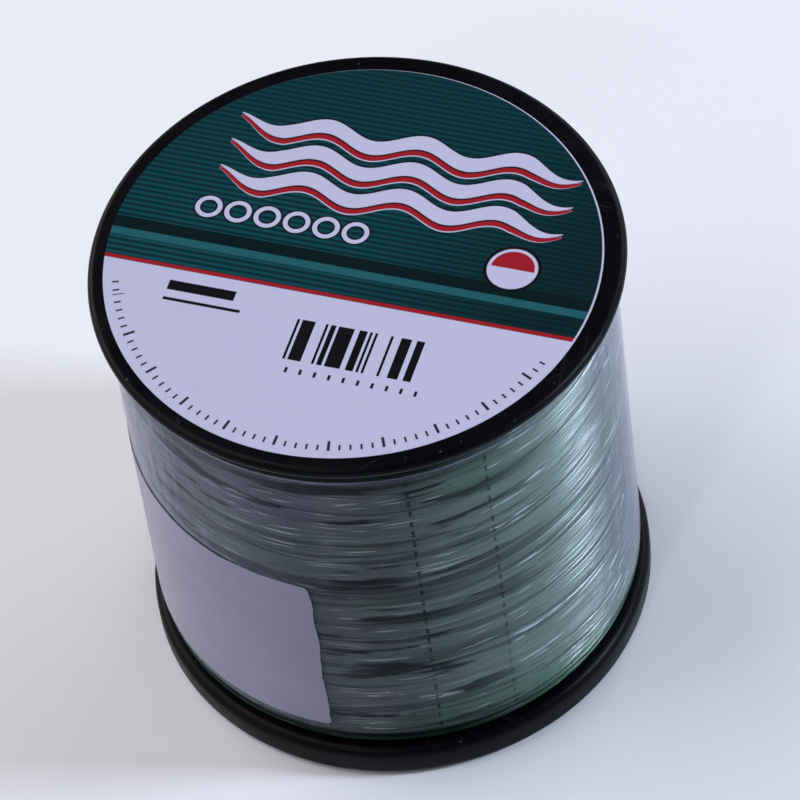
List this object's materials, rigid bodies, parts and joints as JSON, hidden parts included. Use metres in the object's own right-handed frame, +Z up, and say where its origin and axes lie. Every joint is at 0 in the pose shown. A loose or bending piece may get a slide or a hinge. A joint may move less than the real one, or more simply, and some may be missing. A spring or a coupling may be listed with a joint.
{
  "type": "fishing line spool",
  "caption": "Flanged spool of clear green fishing line with a central spindle bore, a clear outer band, a paper sticker and a plain round face label.",
  "frame": {"origin": "centre of the circle that the spool stands on, at the lower flange's foot", "axes": "+Z up along the spool's axis towards the labelled flange; +X to the right and -Y towards a viewer who faces the tear strip"},
  "size_m": [0.08, 0.08, 0.0778],
  "materials": {
    "flange_plastic": "glossy black moulding with fine handling scratches",
    "drum_plastic": "plain black moulding",
    "start_tape": "crepe tape",
    "line": "clear grey-green monofilament",
    "clear_film": "thin clear shrink film",
    "sticker_paper": "matte white paper with faint creases",
    "label_paper": "coated paper, striped teal with a plain white segment"
  },
  "bodies": {
    "root": {"lower_flange": "flange_plastic", "upper_flange": "flange_plastic", "hub_barrel": "drum_plastic", "arbor_tube": "drum_plastic", "line_start_tape": "start_tape", "line_pack_core": "line", "line_outer_layer": "line", "shrink_band": "clear_film", "side_sticker": "sticker_paper", "face_label": "label_paper"}
  },
  "joints": []
}
